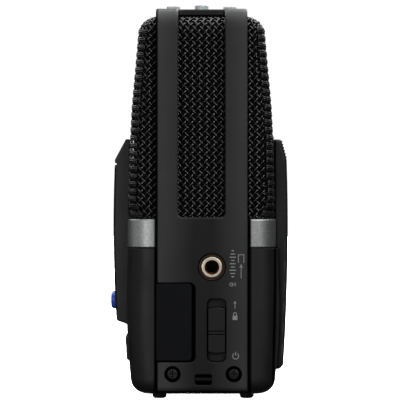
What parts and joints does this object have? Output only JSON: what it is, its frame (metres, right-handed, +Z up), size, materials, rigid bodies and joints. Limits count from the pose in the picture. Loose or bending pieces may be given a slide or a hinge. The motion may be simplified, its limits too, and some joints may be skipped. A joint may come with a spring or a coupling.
{
  "type": "handheld voice recorder",
  "caption": "Upright pocket recorder: a bent metal frame over a wire-mesh microphone head, a control panel in front, a battery cover behind, sockets and controls on the sides.",
  "frame": {"origin": "middle of the footprint, on the surface that the feet stand on", "axes": "+Z up, -Y towards the side with the display and the record button, +X towards the side with the line input and the power switch"},
  "size_m": [0.057, 0.0606, 0.1335],
  "materials": {
    "frame_black": "fine satin black paint on a bent metal strap",
    "shell_black": "fine spark-eroded black plastic",
    "panel_black": "satin black plastic",
    "tray_black": "plain black plastic",
    "plate_gloss": "polished black acrylic",
    "lens_clear": "clear acrylic window",
    "display_grey": "reflective liquid crystal, switched off",
    "ring_silver": "silver lacquer with a fine grain",
    "mesh_black": "black enamelled steel wire, woven",
    "foam_black": "open-cell foam",
    "bracket_grey": "plain moulded plastic",
    "capsule_silver": "drawn can",
    "board_green": "solder resist on glass-fibre board",
    "chip_black": "moulded package",
    "ribbon_amber": "polyimide film",
    "screw_steel": "dark nickel plate",
    "contact_nickel": "nickel plate",
    "bush_gold": "gilt",
    "socket_black": "moulded plastic",
    "rubber_black": "soft rubber",
    "button_blue": "translucent deep blue",
    "mode_clear": "smoky translucent blue-grey",
    "key_gloss": "polished black",
    "knob_black": "satin black plastic",
    "cell_wrap": "printed film over a steel can",
    "speaker_black": "doped paper cone in a plastic basket",
    "card_grey": "moulded plastic"
  },
  "bodies": {
    "recorder": {"side_frame": "frame_black", "front_shell": "shell_black", "rear_shell": "shell_black", "base_plate": "shell_black", "base_screws": "screw_steel", "tripod_insert": "bush_gold", "rubber_feet": "rubber_black", "frame_screws": "screw_steel", "strap_bar": "screw_steel", "trim_ring": "ring_silver", "mic_grille": "mesh_black", "foam_liner": "foam_black", "mic_bracket": "bracket_grey", "mic_board": "board_green", "mode_board": "board_green", "control_panel": "panel_black", "front_plate": "plate_gloss", "display_lens": "lens_clear", "display_module": "display_grey", "panel_board": "board_green", "panel_ribbon": "ribbon_amber", "tact_switches": "contact_nickel", "control_board": "board_green", "main_board": "board_green", "board_rails": "bracket_grey", "board_screws": "screw_steel", "board_chips": "chip_black", "line_in_socket": "socket_black", "line_in_bush": "bush_gold", "phones_socket": "socket_black", "phones_bush": "bush_gold", "switch_body": "socket_black", "card_socket": "contact_nickel", "memory_card": "card_grey", "usb_socket": "contact_nickel", "volume_switch": "socket_black", "speaker": "speaker_black", "battery_tray": "tray_black", "battery_contacts": "contact_nickel", "battery_springs": "contact_nickel", "cell_right": "cell_wrap", "cell_left": "cell_wrap", "capsule_front_right": "capsule_silver", "capsule_front_left": "capsule_silver", "capsule_rear_left": "capsule_silver", "capsule_rear_right": "capsule_silver"},
    "record_button": {"record_button": "button_blue"},
    "menu_button": {"menu_button": "key_gloss"},
    "stop_button": {"stop_button": "key_gloss"},
    "key_rewind": {"key_rewind": "key_gloss"},
    "key_play": {"key_play": "key_gloss"},
    "key_forward": {"key_forward": "key_gloss"},
    "key_delete": {"key_delete": "key_gloss"},
    "mode_button_front": {"mode_button_front": "mode_clear"},
    "mode_button_middle": {"mode_button_middle": "mode_clear"},
    "mode_button_rear": {"mode_button_rear": "mode_clear"},
    "switch_knob": {"switch_knob": "knob_black"},
    "card_cover": {"card_cover": "rubber_black"},
    "volume_rocker": {"volume_rocker": "knob_black"},
    "battery_cover": {"battery_cover": "panel_black"}
  },
  "joints": [
    {"name": "record_press", "type": "slide", "parent": "recorder", "child": "record_button", "axis": [0, 1, 0], "range_m": [0, 0.0005], "stiffness_N_per_m": 500},
    {"name": "menu_press", "type": "slide", "parent": "recorder", "child": "menu_button", "axis": [0, 1, 0], "range_m": [0, 0.0005], "stiffness_N_per_m": 500},
    {"name": "stop_press", "type": "slide", "parent": "recorder", "child": "stop_button", "axis": [0, 1, 0], "range_m": [0, 0.0005], "stiffness_N_per_m": 500},
    {"name": "key_rewind_press", "type": "slide", "parent": "recorder", "child": "key_rewind", "axis": [0, 1, 0], "range_m": [0, 0.0005], "stiffness_N_per_m": 500},
    {"name": "key_play_press", "type": "slide", "parent": "recorder", "child": "key_play", "axis": [0, 1, 0], "range_m": [0, 0.0005], "stiffness_N_per_m": 500},
    {"name": "key_forward_press", "type": "slide", "parent": "recorder", "child": "key_forward", "axis": [0, 1, 0], "range_m": [0, 0.0005], "stiffness_N_per_m": 500},
    {"name": "key_delete_press", "type": "slide", "parent": "recorder", "child": "key_delete", "axis": [0, 1, 0], "range_m": [0, 0.0005], "stiffness_N_per_m": 500},
    {"name": "mode_front_press", "type": "slide", "parent": "recorder", "child": "mode_button_front", "axis": [0, 0, -1], "range_m": [0, 0.0005], "stiffness_N_per_m": 500},
    {"name": "mode_middle_press", "type": "slide", "parent": "recorder", "child": "mode_button_middle", "axis": [0, 0, -1], "range_m": [0, 0.0005], "stiffness_N_per_m": 500},
    {"name": "mode_rear_press", "type": "slide", "parent": "recorder", "child": "mode_button_rear", "axis": [0, 0, -1], "range_m": [0, 0.0005], "stiffness_N_per_m": 500},
    {"name": "power_hold_slide", "type": "slide", "parent": "recorder", "child": "switch_knob", "axis": [0, 0, 1], "range_m": [-0.0025, 0.0025]},
    {"name": "card_cover_hinge", "type": "hinge", "parent": "recorder", "child": "card_cover", "pos_m": [0.0282, -0.0138, 0.0253], "axis": [0, 0, -1], "range_deg": [0, 110]},
    {"name": "volume_rock", "type": "hinge", "parent": "recorder", "child": "volume_rocker", "pos_m": [-0.0276, -0.00815, 0.034], "axis": [0, 1, 0], "range_deg": [-3, 3], "stiffness_Nm_per_rad": 0.14},
    {"name": "battery_cover_hinge", "type": "hinge", "parent": "recorder", "child": "battery_cover", "pos_m": [0, 0.0271, 0.0101], "axis": [-1, 0, 0], "range_deg": [0, 85]}
  ]
}
